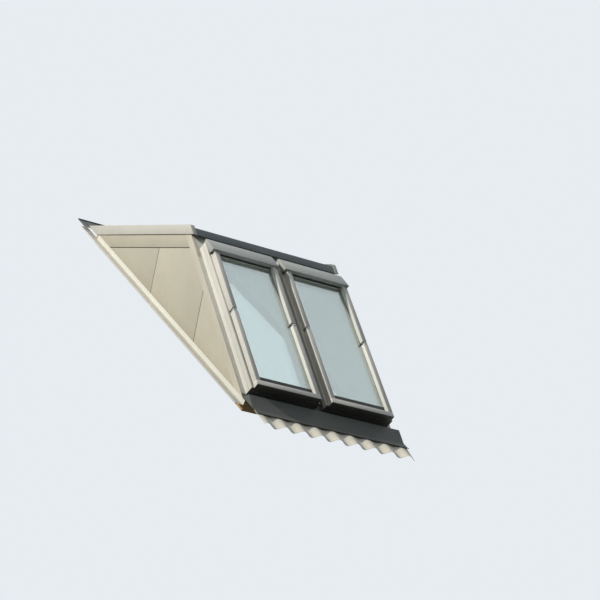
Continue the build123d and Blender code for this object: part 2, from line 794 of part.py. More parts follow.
    # Fittings on the sash: pivot arms with their pins, lugs of the control bar, rose of the bolt
    with BuildPart() as sash_fittings:
        for edge in edges:
            arm_middle = centre + edge * (window_half - arm_inset)
            with BuildSketch(profile_plane(arm_middle)):
                box(pivot_along - pivot_stem / 2, pivot_along + pivot_stem / 2, sash_high, pivot_height)
                with Locations((pivot_along, pivot_height)):
                    Circle(drum_radius)
            extrude(amount=bracket_width / 2, both=True)
            with BuildSketch(profile_plane(arm_middle)):
                with Locations((pivot_along, pivot_height)):
                    Circle(pin_radius)
            extrude(amount=edge * (arm_inset - bracket_inset + bracket_width / 2))
            lug_middle = centre + edge * (bar_length / 2 + lug_gap + lug_thickness / 2)
            with BuildSketch(profile_plane(lug_middle)):
                box(bar_pin_along - lug_width / 2, bar_pin_along + lug_width / 2,
                    bar_pin_height, sash_low)
                with Locations((bar_pin_along, bar_pin_height)):
                    Circle(lug_width / 2)
            extrude(amount=lug_thickness / 2, both=True)
            with BuildSketch(profile_plane(lug_middle)):
                with Locations((bar_pin_along, bar_pin_height)):
                    Circle(bar_pin_radius)
            extrude(amount=-edge * (lug_thickness / 2 + lug_gap + arm_thickness))
        with BuildSketch(cut_plane(glass_start)):
            with Locations((bolt_place, bolt_height)):
                Circle(knob_radius)
                Circle(bolt_radius + bolt_clearance, mode=Mode.SUBTRACT)
        extrude(amount=-sheet)
    save(sash_fittings, f"sash_fittings_{side}")

    with BuildPart() as control_bar:
        with BuildSketch(profile_plane(centre)):
            with Locations((bar_pin_along, bar_pin_height - arm_length)):
                Circle(grip_radius)
        extrude(amount=bar_length / 2, both=True)
        for edge in edges:
            with BuildSketch(profile_plane(centre + edge * (bar_length - arm_thickness) / 2)):
                with Locations((bar_pin_along, bar_pin_height - arm_length / 2)):
                    SlotCenterToCenter(arm_length, arm_width, rotation=90)
                with Locations((bar_pin_along, bar_pin_height)):
                    Circle(bar_pin_radius + pin_clearance, mode=Mode.SUBTRACT)
            extrude(amount=arm_thickness / 2, both=True)
    save(control_bar, f"control_bar_{side}")

    with BuildPart() as bolt:
        with BuildSketch(cut_plane(bolt_end + knob_length)):
            with Locations((bolt_place, bolt_height)):
                Circle(bolt_radius)
        extrude(amount=bolt_end + knob_length - bolt_start)
        with BuildSketch(cut_plane(bolt_end + knob_length)):
            with Locations((bolt_place, bolt_height)):
                Circle(knob_radius)
        extrude(amount=knob_length)
    save(bolt, f"bolt_{side}")

# Fittings on the frames: pivot brackets with their bores, and the keepers of the bolts
with BuildPart() as frame_fittings:
    for side, sign in sides:
        centre = sign * window_centre
        for edge in edges:
            with BuildSketch(profile_plane(centre + edge * (window_half - bracket_inset))):
                box(pivot_along - bracket_foot / 2, pivot_along + bracket_foot / 2,
                    frame_depth, frame_depth + bracket_plate)
                box(pivot_along - pivot_stem / 2, pivot_along + pivot_stem / 2,
                    frame_depth, pivot_height)
                with Locations((pivot_along, pivot_height)):
                    Circle(drum_radius)
                    Circle(pin_radius + pin_clearance, mode=Mode.SUBTRACT)
            extrude(amount=bracket_width / 2, both=True)
        with BuildSketch(cut_plane(opening_foot)):
            with Locations((centre + bolt_offset, bolt_height)):
                Rectangle(sash_stile, 2 * pivot_stem)
                Circle(bolt_radius + keeper_clearance, mode=Mode.SUBTRACT)
        extrude(amount=-sheet)
save(frame_fittings, "frame_fittings")
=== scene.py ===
import json
import math
import random
import bmesh
import bpy
import numpy
from mathutils import Matrix, Vector
from mathutils.bvhtree import BVHTree

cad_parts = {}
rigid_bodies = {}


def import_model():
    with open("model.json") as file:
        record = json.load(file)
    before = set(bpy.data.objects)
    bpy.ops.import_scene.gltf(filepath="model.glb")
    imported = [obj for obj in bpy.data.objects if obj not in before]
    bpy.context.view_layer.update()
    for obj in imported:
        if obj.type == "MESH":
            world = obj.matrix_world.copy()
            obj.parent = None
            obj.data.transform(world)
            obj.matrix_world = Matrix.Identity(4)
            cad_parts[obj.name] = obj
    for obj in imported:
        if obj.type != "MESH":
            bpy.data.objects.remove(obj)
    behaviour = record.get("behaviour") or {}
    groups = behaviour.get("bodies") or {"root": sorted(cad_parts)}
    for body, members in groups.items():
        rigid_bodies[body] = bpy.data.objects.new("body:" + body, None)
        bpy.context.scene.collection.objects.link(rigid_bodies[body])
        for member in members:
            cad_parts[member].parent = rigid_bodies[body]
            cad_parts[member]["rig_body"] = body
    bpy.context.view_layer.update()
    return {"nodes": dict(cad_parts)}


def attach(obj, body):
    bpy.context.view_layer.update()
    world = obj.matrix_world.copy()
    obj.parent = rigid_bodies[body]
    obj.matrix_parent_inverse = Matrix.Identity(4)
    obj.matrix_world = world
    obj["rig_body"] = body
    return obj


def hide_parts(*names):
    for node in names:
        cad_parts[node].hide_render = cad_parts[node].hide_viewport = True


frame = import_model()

nodes = frame["nodes"]
print("frame loaded,", len(nodes), "nodes")

# slopes of the dormer, which the patterns on it follow
slopes = {"front": math.radians(66), "deck": math.radians(20), "roof": math.radians(45)}
frontUp = Vector((0, math.cos(slopes["front"]), math.sin(slopes["front"])))
frontOut = Vector((0, -math.sin(slopes["front"]), math.cos(slopes["front"])))
frontFoot = Vector((0, -0.084853, 0.070711))
windowMiddles = {"left": -0.43, "right": 0.43}
bothSides = tuple(windowMiddles)


# camera, at the photograph's place
cameraSettings = {
    "place": (-13.0396, -17.5082, -7.7888),
    "azimuth": 36.377,      # degrees round from straight ahead, towards the right
    "elevation": 22.545,    # looking up
    "roll": -0.7175,
    "lens": 147.66,
    "sensor": 36,
}


def makeCamera():
    settings = cameraSettings
    azimuth, elevation, roll = (math.radians(settings[key]) for key in ("azimuth", "elevation", "roll"))
    forward = Vector((math.sin(azimuth) * math.cos(elevation),
                      math.cos(azimuth) * math.cos(elevation), math.sin(elevation)))
    level = forward.cross(Vector((0, 0, 1))).normalized()
    upright = level.cross(forward)
    right = level * math.cos(roll) + upright * math.sin(roll)
    top = right.cross(forward)
    data = bpy.data.cameras.new("camera")
    data.lens = settings["lens"]
    data.sensor_width = settings["sensor"]
    data.clip_start, data.clip_end = 0.5, 200
    camera = bpy.data.objects.new("camera", data)
    bpy.context.scene.collection.objects.link(camera)
    turn = Matrix((right, top, -forward)).transposed()
    camera.matrix_world = Matrix.Translation(settings["place"]) @ turn.to_4x4()
    bpy.context.scene.camera = camera


# lamps, floor and world
studio = {
    "backdrop": (0.80, 0.84, 0.88),
    "floorLevel": -12.0,
    "floorSize": 240,
    "floorColour": (0.80, 0.82, 0.84),
    "floorBounce": (0.045, 0.045, 0.045),   # what it sends back to the object
    "ambient": {"low": 0.10, "high": 0.46, "colour": (0.84, 0.92, 1.0)},
    "sun": {"energy": 2.9, "angle": 2.5, "towards": (-1.0, 0.22, 0.76), "colour": (1.0, 0.975, 0.93)},
}


def makeSun(name, settings):
    data = bpy.data.lights.new(name, "SUN")
    data.energy = settings["energy"]
    data.angle = math.radians(settings["angle"])
    data.color = settings["colour"]
    lamp = bpy.data.objects.new(name, data)
    lamp.rotation_mode = "QUATERNION"
    lamp.rotation_quaternion = Vector(settings["towards"]).to_track_quat("Z", "Y")
    bpy.context.scene.collection.objects.link(lamp)


def seenDirectly(tree):
    # 1 for what the camera sees, also in gloss and through glass
    paths = tree.nodes.new("ShaderNodeLightPath").outputs
    value = paths["Is Camera Ray"]
    for other in ("Is Glossy Ray", "Is Transmission Ray"):
        larger = tree.nodes.new("ShaderNodeMath")
        larger.operation = "MAXIMUM"
        tree.links.new(value, larger.inputs[0])
        tree.links.new(paths[other], larger.inputs[1])
        value = larger.outputs[0]
    return value


def makeSky(tree, settings):
    # soft light that fades from overhead to below the horizon
    direction = tree.nodes.new("ShaderNodeTexCoord")
    height = tree.nodes.new("ShaderNodeSeparateXYZ")
    fade = tree.nodes.new("ShaderNodeMapRange")
    fade.inputs["From Min"].default_value = -0.1
    fade.inputs["From Max"].default_value = 0.9
    fade.inputs["To Min"].default_value = settings["low"]
    fade.inputs["To Max"].default_value = settings["high"]
    sky = tree.nodes.new("ShaderNodeBackground")
    sky.inputs["Color"].default_value = (*settings["colour"], 1)
    tree.links.new(direction.outputs["Generated"], height.inputs[0])
    tree.links.new(height.outputs["Z"], fade.inputs["Value"])
    tree.links.new(fade.outputs["Result"], sky.inputs["Strength"])
    return sky.outputs[0]


def makeStudio():
    makeSun("sun", studio["sun"])
    world = bpy.data.worlds.new("studio")
    world.use_nodes = True
    tree = world.node_tree
    tree.nodes.clear()
    backdrop = tree.nodes.new("ShaderNodeBackground")
    backdrop.inputs["Color"].default_value = (*studio["backdrop"], 1)
    whole = tree.nodes.new("ShaderNodeMixShader")
    output = tree.nodes.new("ShaderNodeOutputWorld")
    tree.links.new(seenDirectly(tree), whole.inputs[0])
    tree.links.new(makeSky(tree, studio["ambient"]), whole.inputs[1])
    tree.links.new(backdrop.outputs[0], whole.inputs[2])
    tree.links.new(whole.outputs[0], output.inputs[0])
    bpy.context.scene.world = world

    size, level = studio["floorSize"] / 2, studio["floorLevel"]
    mesh = bpy.data.meshes.new("floor")
    mesh.from_pydata([(-size, -size, level), (size, -size, level), (size, size, level), (-size, size, level)],
                     [], [(0, 1, 2, 3)])
    floor = bpy.data.objects.new("floor", mesh)
    bpy.context.scene.collection.objects.link(floor)
    material = bpy.data.materials.new("floor")
    material.use_nodes = True
    tree = material.node_tree
    shader = tree.nodes["Principled BSDF"]
    shader.inputs["Roughness"].default_value = 0.9
    mix = tree.nodes.new("ShaderNodeMix")
    mix.data_type = "RGBA"
    mix.inputs[6].default_value = (*studio["floorBounce"], 1)
    mix.inputs[7].default_value = (*studio["floorColour"], 1)
    tree.links.new(seenDirectly(tree), mix.inputs[0])
    tree.links.new(mix.outputs[2], shader.inputs["Base Color"])
    mesh.materials.append(material)


makeCamera()
makeStudio()
bpy.context.scene.view_settings.view_transform = "Standard"
print("camera and studio made")


def linear(value):
    value /= 255
    return value / 12.92 if value <= 0.04045 else ((value + 0.055) / 1.055) ** 2.4


def colour(red, green, blue):
    return (linear(red), linear(green), linear(blue), 1)


# wiring helpers for the materials
def addNode(tree, kind, sockets=None, **settings):
    node = tree.nodes.new("ShaderNode" + kind)
    for name, value in settings.items():
        setattr(node, name, value)
    for key, value in (sockets or {}).items():
        if isinstance(value, bpy.types.NodeSocket):
            tree.links.new(value, node.inputs[key])
        else:
            node.inputs[key].default_value = value
    return node


def newMaterial(name):
    material = bpy.data.materials.new(name)
    material.use_nodes = True
    tree = material.node_tree
    tree.nodes.clear()
    return material, tree


def close(tree, shader):
    addNode(tree, "OutputMaterial", {"Surface": shader})


def place(tree):
    return addNode(tree, "TexCoord").outputs["Object"]


def member(tree):
    # metres along, across and through the timber that a face belongs to
    return addNode(tree, "Attribute", attribute_name="member").outputs["Vector"]


def scaled(tree, vector, scale, turn=0):
    return addNode(tree, "Mapping", {"Vector": vector, "Scale": scale, "Rotation": (-turn, 0, 0)}).outputs[0]


def cloud(tree, vector, scale, detail=2, roughness=0.5, distortion=0):
    return addNode(tree, "TexNoise", {"Vector": vector, "Scale": scale, "Detail": detail,
                                      "Roughness": roughness, "Distortion": distortion}).outputs["Fac"]


def span(tree, value, low, high, first=0, last=1):
    return addNode(tree, "MapRange", {"Value": value, "From Min": low, "From Max": high,
                                      "To Min": first, "To Max": last}).outputs["Result"]


def maths(tree, operation, *values):
    return addNode(tree, "Math", dict(enumerate(values)), operation=operation).outputs[0]


def blended(tree, factor, first, second):
    return addNode(tree, "Mix", {0: factor, 6: first, 7: second}, data_type="RGBA").outputs[2]


def bump(tree, height, depth, strength=1.0, normal=None):
    sockets = {"Height": height, "Distance": depth, "Strength": strength}
    if normal is not None:
        sockets["Normal"] = normal
    return addNode(tree, "Bump", sockets).outputs["Normal"]


def edges(tree, radius):
    # rounded normal, and how far it leaves the flat one: 0 on faces, 1 on sharp edges
    rounded = addNode(tree, "Bevel", {"Radius": radius}, samples=6).outputs["Normal"]
    flat = addNode(tree, "NewGeometry").outputs["Normal"]
    likeness = addNode(tree, "VectorMath", {0: rounded, 1: flat}, operation="DOT_PRODUCT").outputs["Value"]
    return rounded, span(tree, likeness, 1.0, 0.8)


def upward(tree):
    normal = addNode(tree, "NewGeometry").outputs["Normal"]
    return addNode(tree, "SeparateXYZ", {0: normal}).outputs["Z"]


def aboveRoof(tree):
    # metres above the rafters' top, square to the roof
    axes = addNode(tree, "SeparateXYZ", {0: place(tree)})
    return maths(tree, "MULTIPLY", maths(tree, "SUBTRACT", axes.outputs["Z"], axes.outputs["Y"]), 0.7071)


def shade(tint, amount):
    return (*(min(1, value * amount) for value in tint[:3]), 1)


coatings = {
    "sideTrim": {"tint": colour(214, 211, 198), "gloss": 0.42, "dust": 0.20, "runs": 0.10},
    # painted shade: the front trim is tinted dark slate, far darker than the side trim, for the shade on its
    # front face
    "frontTrim": {"tint": colour(91, 101, 103), "gloss": 0.38, "dust": 0.16, "runs": 0.12},
    "flashing": {"tint": colour(228, 225, 212), "gloss": 0.46, "dust": 0.10, "runs": 0.14},
    # painted shade: darker than the flashing of its slot, for the shade in the gutter between the windows
    "gutter": {"tint": colour(118, 118, 112), "gloss": 0.46, "dust": 0.14, "runs": 0.16},
    # partly painted shade: a dark sheet, tinted darker still for the shade below the windows
    "apron": {"tint": colour(74, 78, 74), "gloss": 0.50, "dust": 0.18, "runs": 0.20},
    "cover": {"tint": colour(228, 225, 214), "gloss": 0.34, "dust": 0.12, "runs": 0.10},
    # painted shade: greyer than the covers of its slot, for the shade on the hood's face
    "hood": {"tint": colour(184, 186, 180), "gloss": 0.36, "dust": 0.10, "runs": 0.10},
    # painted shade: a dark finish for the undersides at the covers' foot, and for the cover above each pane,
    # where the hood and bottom bar cast shade
    "paintedShadeCover": {"tint": colour(92, 92, 86), "gloss": 0.40, "dust": 0.10, "runs": 0.08},
    "panelReturn": {"tint": colour(206, 200, 181), "gloss": 0.50, "dust": 0.12, "runs": 0.14},
    "skirt": {"tint": colour(240, 233, 215), "gloss": 0.50, "dust": 0.12, "runs": 0.12},
}


def coatedMetal(name):
    # stove-enamelled sheet: slight waves, fine orange peel, rain runs, dust on top, rubbed edges
    settings = coatings[name]
    material, tree = newMaterial(name)
    where = place(tree)
    tint = settings["tint"]
    drift = span(tree, cloud(tree, where, 3.1, 3), 0.3, 0.7)
    surface = blended(tree, drift, shade(tint, 0.95), shade(tint, 1.03))
    runs = cloud(tree, scaled(tree, where, (42, 42, 1.6)), 1.0, 4, 0.6)
    runs = maths(tree, "MULTIPLY", span(tree, runs, 0.48, 0.80), settings["runs"])
    surface = blended(tree, runs, surface, shade(tint, 0.45))
    patches = span(tree, cloud(tree, where, 17, 5, 0.65), 0.35, 0.75)
    dust = maths(tree, "MULTIPLY", span(tree, upward(tree), 0.35, 1.0), patches)
    dust = maths(tree, "MULTIPLY", dust, settings["dust"] * 2.2)
    surface = blended(tree, dust, surface, colour(150, 144, 130))
    rounded, worn = edges(tree, 0.0012)
    rubbed = maths(tree, "MULTIPLY", worn, span(tree, cloud(tree, where, 240, 3), 0.42, 0.72, 0, 0.35))
    surface = blended(tree, rubbed, surface, shade(tint, 1.35))
    gloss = settings["gloss"]
    rough = span(tree, cloud(tree, where, 60, 4), 0.25, 0.75, gloss - 0.06, gloss + 0.09)
    rough = maths(tree, "ADD", rough, maths(tree, "MULTIPLY", dust, 0.5))
    peel = bump(tree, cloud(tree, where, 1500, 2), 0.00005, 0.5, rounded)
    waves = bump(tree, cloud(tree, scaled(tree, where, (1.7, 5.0, 5.0)), 1.0, 1), 0.0016, 0.6, peel)
    shader = addNode(tree, "BsdfPrincipled", {"Base Color": surface, "Roughness": rough, "Normal": waves,
                                              "Specular IOR Level": 0.3})
    close(tree, shader.outputs[0])
    return material


panelBoard = {"tint": colour(199, 193, 172), "speckle": 0.09, "runs": 0.05, "foot": 0.18}


def panelMaterial():
    # through-coloured board: fine mineral speckle, faint cloudiness, rain runs, splashed foot
    settings = panelBoard
    material, tree = newMaterial("cheekPanel")
    where = place(tree)
    tint = settings["tint"]
    clouds = span(tree, cloud(tree, where, 2.6, 5, 0.6), 0.3, 0.7)
    surface = blended(tree, clouds, shade(tint, 0.955), shade(tint, 1.035))
    grains = cloud(tree, where, 820, 2, 0.7)
    speckle = settings["speckle"] * 3
    surface = blended(tree, span(tree, grains, 0.36, 0.20, 0, speckle), surface, shade(tint, 0.62))
    surface = blended(tree, span(tree, grains, 0.64, 0.80, 0, speckle), surface, shade(tint, 1.25))
    runs = cloud(tree, scaled(tree, where, (30, 30, 1.3)), 1.0, 5, 0.62)
    surface = blended(tree, span(tree, runs, 0.52, 0.82, 0, settings["runs"]), surface, shade(tint, 0.5))
    ragged = span(tree, cloud(tree, where, 22, 4), 0.2, 0.8, -0.03, 0.03)
    foot = span(tree, maths(tree, "ADD", aboveRoof(tree), ragged), 0.20, 0.10, 0, settings["foot"])
    surface = blended(tree, foot, surface, colour(120, 112, 92))
    rounded, worn = edges(tree, 0.0015)
    surface = blended(tree, maths(tree, "MULTIPLY", worn, 0.25), surface, shade(tint, 1.2))
    rough = span(tree, cloud(tree, where, 45, 4), 0.25, 0.75, 0.60, 0.78)
    grain = bump(tree, grains, 0.00012, 0.7, rounded)
    shader = addNode(tree, "BsdfPrincipled", {"Base Color": surface, "Roughness": rough, "Normal": grain,
                                              "Specular IOR Level": 0.35})
    close(tree, shader.outputs[0])
    return material


timbers = {
    "sawnTimber": {"early": colour(214, 180, 130), "late": colour(168, 122, 74),
                   "rough": 0.78, "fibre": 0.00035, "coat": 0.0, "wander": 0.16},
    "windowTimber": {"early": colour(240, 231, 210), "late": colour(231, 216, 186),
                     "rough": 0.42, "fibre": 0.00005, "coat": 0.35, "wander": 0.13},
}


def timberMaterial(name):
    # softwood with the grain along each member: growth lines, fibres, knots
    settings = timbers[name]
    material, tree = newMaterial(name)
    along = member(tree)
    tone = addNode(tree, "Attribute", attribute_name="tone").outputs["Fac"]
    drift = cloud(tree, scaled(tree, along, (0.8, 7, 7)), 1.0, 2)
    drift = addNode(tree, "CombineXYZ", {"Y": maths(tree, "MULTIPLY", drift, settings["wander"])}).outputs[0]
    stretched = scaled(tree, along, (0.055, 1, 0.45))
    bent = addNode(tree, "VectorMath", {0: stretched, 1: drift}, operation="ADD").outputs[0]
    rings = addNode(tree, "TexWave", {"Vector": bent, "Scale": 34,
                                      "Distortion": 5.5, "Detail": 2.5, "Detail Scale": 1.4},
                    wave_type="BANDS", bands_direction="Y", wave_profile="SAW").outputs["Fac"]
    surface = blended(tree, span(tree, rings, 0.35, 1.0), settings["early"], settings["late"])
    fibres = cloud(tree, scaled(tree, along, (7, 620, 620)), 1.0, 3, 0.6)
    surface = blended(tree, span(tree, fibres, 0.55, 0.85, 0, 0.35), surface, shade(settings["late"], 0.7))
    knots = addNode(tree, "TexVoronoi", {"Vector": scaled(tree, along, (1.5, 6.5, 6.5)), "Scale": 1.0,
                                         "Randomness": 1.0}).outputs["Distance"]
    surface = blended(tree, span(tree, knots, 0.095, 0.05, 0, 0.8), surface, shade(settings["late"], 0.45))
    surface = blended(tree, span(tree, tone, 0, 1, 0, 0.30), surface, shade(settings["late"], 0.95))
    rounded, worn = edges(tree, 0.002)
    surface = blended(tree, maths(tree, "MULTIPLY", worn, 0.18), surface, shade(settings["early"], 1.1))
    relief = maths(tree, "ADD", fibres, maths(tree, "MULTIPLY", rings, 0.15))
    grain = bump(tree, relief, settings["fibre"], 0.6, rounded)
    rough = span(tree, fibres, 0.2, 0.8, settings["rough"] - 0.05, settings["rough"] + 0.08)
    shader = addNode(tree, "BsdfPrincipled", {"Base Color": surface, "Roughness": rough, "Normal": grain,
                                              "Coat Weight": settings["coat"], "Coat Roughness": 0.2})
    close(tree, shader.outputs[0])
    return material


deckBoard = {"pale": colour(214, 184, 134), "mid": colour(188, 150, 98), "deep": colour(150, 108, 62)}


def deckMaterial():
    # pressed board of long wood flakes
    settings = deckBoard
    material, tree = newMaterial("deckBoard")
    where = scaled(tree, place(tree), (1, 1, 1), slopes["deck"])
    first = addNode(tree, "TexVoronoi", {"Vector": scaled(tree, where, (14, 52, 90)), "Scale": 1.0})
    second = addNode(tree, "TexVoronoi", {"Vector": scaled(tree, where, (46, 17, 90)), "Scale": 1.0})
    pick = span(tree, cloud(tree, where, 19, 2), 0.46, 0.54)
    flakes = blended(tree, pick, first.outputs["Color"], second.outputs["Color"])
    value = addNode(tree, "SeparateColor", {0: flakes})
    surface = blended(tree, value.outputs[0], settings["mid"], settings["pale"])
    surface = blended(tree, span(tree, value.outputs[1], 0.7, 1.0, 0, 0.8), surface, settings["deep"])
    fibres = cloud(tree, scaled(tree, where, (60, 600, 600)), 1.0, 3)
    surface = blended(tree, span(tree, fibres, 0.5, 0.9, 0, 0.3), surface, settings["deep"])
    relief = bump(tree, maths(tree, "ADD", value.outputs[2], fibres), 0.0004, 0.6)
    rough = span(tree, fibres, 0.2, 0.8, 0.62, 0.80)
    shader = addNode(tree, "BsdfPrincipled", {"Base Color": surface, "Roughness": rough, "Normal": relief})
    close(tree, shader.outputs[0])
    return material


linings = {"tint": colour(231, 228, 219), "nap": 0.00025}


def liningMaterial():
    # painted board: roller nap, a few scuffs
    settings = linings
    material, tree = newMaterial("liningBoard")
    where = place(tree)
    tint = settings["tint"]
    clouds = span(tree, cloud(tree, where, 2.2, 4), 0.3, 0.7)
    surface = blended(tree, clouds, shade(tint, 0.97), shade(tint, 1.02))
    scuffs = cloud(tree, scaled(tree, where, (9, 9, 55)), 1.0, 5, 0.7, 0.6)
    surface = blended(tree, span(tree, scuffs, 0.66, 0.80, 0, 0.14), surface, shade(tint, 0.7))
    rounded, worn = edges(tree, 0.001)
    surface = blended(tree, maths(tree, "MULTIPLY", worn, 0.2), surface, shade(tint, 0.85))
    nap = bump(tree, cloud(tree, where, 380, 3, 0.6), settings["nap"], 0.5, rounded)
    rough = span(tree, cloud(tree, where, 90, 3), 0.3, 0.7, 0.50, 0.64)
    shader = addNode(tree, "BsdfPrincipled", {"Base Color": surface, "Roughness": rough, "Normal": nap})
    close(tree, shader.outputs[0])
    return material


woolBatts = {"pale": colour(214, 196, 138), "deep": colour(160, 136, 80)}


def woolMaterial():
    # mineral wool: tangled fibres in layers
    settings = woolBatts
    material, tree = newMaterial("mineralWool")
    where = place(tree)
    tangle = cloud(tree, scaled(tree, where, (40, 220, 220)), 1.0, 6, 0.7, 1.2)
    cross = cloud(tree, scaled(tree, where, (260, 60, 60)), 1.0, 6, 0.7, 0.8)
    threads = maths(tree, "MULTIPLY", tangle, cross)
    surface = blended(tree, span(tree, threads, 0.16, 0.36), settings["deep"], settings["pale"])
    surface = blended(tree, span(tree, cloud(tree, where, 9, 3), 0.4, 0.7, 0, 0.35), surface, settings["deep"])
    relief = bump(tree, threads, 0.004, 0.9)
    rough = span(tree, threads, 0.1, 0.4, 1.0, 0.85)
    shader = addNode(tree, "BsdfPrincipled", {"Base Color": surface, "Roughness": rough, "Normal": relief,
                                              "Sheen Weight": 0.3, "Sheen Roughness": 0.6})
    close(tree, shader.outputs[0])
    return material


roofFelt = {"tint": colour(126, 128, 127), "granules": 760, "sheetWidth": 0.90, "lap": 0.010}


def roofMaterial():
    # mineral-faced roof sheet: slate granules, laps darkened by standing water
    settings = roofFelt
    material, tree = newMaterial("roofSheet")
    where = place(tree)
    tint = settings["tint"]
    grit = addNode(tree, "TexVoronoi", {"Vector": where, "Scale": settings["granules"]})
    value = addNode(tree, "SeparateColor", {0: grit.outputs["Color"]}).outputs[0]
    surface = blended(tree, value, shade(tint, 0.55), shade(tint, 1.45))
    pools = span(tree, cloud(tree, scaled(tree, where, (3.2, 1.2, 1.2)), 1.0, 6, 0.62), 0.42, 0.78, 0, 0.30)
    surface = blended(tree, pools, surface, colour(92, 92, 86))
    across = addNode(tree, "SeparateXYZ", {0: where}).outputs["X"]
    half, lap = settings["sheetWidth"] / 2, settings["lap"]
    seam = maths(tree, "PINGPONG", maths(tree, "ADD", across, half), half)
    seam = maths(tree, "SUBTRACT", half, seam)
    surface = blended(tree, span(tree, seam, lap, lap * 0.4, 0, 0.6), surface, colour(58, 58, 56))
    lapped = bump(tree, span(tree, seam, lap * 1.5, lap * 0.6), 0.003, 0.8)
    relief = bump(tree, grit.outputs["Distance"], 0.0006, 0.7, lapped)
    rough = span(tree, value, 0, 1, 0.80, 0.95)
    shader = addNode(tree, "BsdfPrincipled", {"Base Color": surface, "Roughness": rough, "Normal": relief})
    close(tree, shader.outputs[0])
    return material


panes = {"film": (0.86, 0.92, 0.905, 1), "through": (0.93, 0.96, 0.955, 1), "mirror": 0.30, "smears": 0.05}


def glassMaterial():
    # coated pane: sees through, mirrors the sky at a slant, with faint dust and rain marks
    settings = panes
    material, tree = newMaterial("windowGlass")
    where = scaled(tree, place(tree), (1, 1, 1), slopes["front"])
    marks = cloud(tree, scaled(tree, where, (26, 3, 26)), 1.0, 5, 0.65)
    marks = span(tree, marks, 0.50, 0.85, 0, settings["smears"] * 2)
    rough = span(tree, cloud(tree, where, 30, 4), 0.35, 0.75, 0.015, 0.06)
    film = addNode(tree, "BsdfPrincipled", {"Base Color": settings["film"], "Roughness": rough,
                                            "Metallic": 1.0})
    through = addNode(tree, "BsdfTransparent", {"Color": settings["through"]})
    facing = addNode(tree, "LayerWeight", {"Blend": 0.5}).outputs["Facing"]
    glance = maths(tree, "POWER", facing, 4.0)
    cover = maths(tree, "ADD", maths(tree, "ADD", glance, marks), settings["mirror"])
    cover = maths(tree, "MINIMUM", cover, 1.0)
    shader = addNode(tree, "MixShader", {0: cover, 1: through.outputs[0], 2: film.outputs[0]})
    close(tree, shader.outputs[0])
    return material


darkSheets = {"sealRubber": {"tint": colour(34, 34, 33)}, "membrane": {"tint": colour(38, 38, 36)}}


def darkSheetMaterial(name):
    # seal rubber, and the black membrane behind the panels
    settings = darkSheets[name]
    material, tree = newMaterial(name)
    where = place(tree)
    tint = settings["tint"]
    bloom = span(tree, cloud(tree, where, 35, 5, 0.6), 0.45, 0.75, 0, 0.45)
    surface = blended(tree, bloom, tint, shade(tint, 3.0))
    skin = bump(tree, cloud(tree, where, 900, 2), 0.00008, 0.6, edges(tree, 0.001)[0])
    rough = span(tree, bloom, 0, 0.4, 0.52, 0.75)
    shader = addNode(tree, "BsdfPrincipled", {"Base Color": surface, "Roughness": rough, "Normal": skin})
    close(tree, shader.outputs[0])
    return material


bareMetals = {
    "fittingSteel": {"tint": colour(176, 178, 178), "rough": 0.34, "brush": (300, 300, 30), "tarnish": 0.35},
    "barMetal": {"tint": colour(206, 208, 208), "rough": 0.26, "brush": (14, 900, 900), "tarnish": 0.12},
}


def metalMaterial(name):
    # zinc-plated steel or satin aluminium: fine brushing, a little tarnish, bright edges
    settings = bareMetals[name]
    material, tree = newMaterial(name)
    where = place(tree)
    tint = settings["tint"]
    strokes = cloud(tree, scaled(tree, where, settings["brush"]), 1.0, 4, 0.6)
    dull = span(tree, cloud(tree, where, 75, 5, 0.6), 0.42, 0.75, 0, settings["tarnish"])
    surface = blended(tree, dull, shade(tint, 1.0), colour(120, 118, 112))
    surface = blended(tree, span(tree, strokes, 0.35, 0.75, 0, 0.25), surface, shade(tint, 0.75))
    rounded, worn = edges(tree, 0.0006)
    surface = blended(tree, maths(tree, "MULTIPLY", worn, 0.4), surface, shade(tint, 1.3))
    rough = span(tree, strokes, 0.2, 0.8, settings["rough"] - 0.07, settings["rough"] + 0.08)
    rough = maths(tree, "ADD", rough, maths(tree, "MULTIPLY", dull, 0.5))
    lines = bump(tree, strokes, 0.00003, 0.7, rounded)
    shader = addNode(tree, "BsdfPrincipled", {"Base Color": surface, "Metallic": 1.0, "Roughness": rough,
                                              "Normal": lines})
    close(tree, shader.outputs[0])
    return material


finishes = {name: coatedMetal(name) for name in coatings}
finishes.update({name: timberMaterial(name) for name in timbers})
finishes.update({name: metalMaterial(name) for name in bareMetals})
finishes.update({"cheekPanel": panelMaterial(), "deckBoard": deckMaterial(), "liningBoard": liningMaterial(),
                 "mineralWool": woolMaterial(), "roofSheet": roofMaterial(), "windowGlass": glassMaterial()})
finishes.update({name: darkSheetMaterial(name) for name in darkSheets})
print("materials made,", len(finishes))


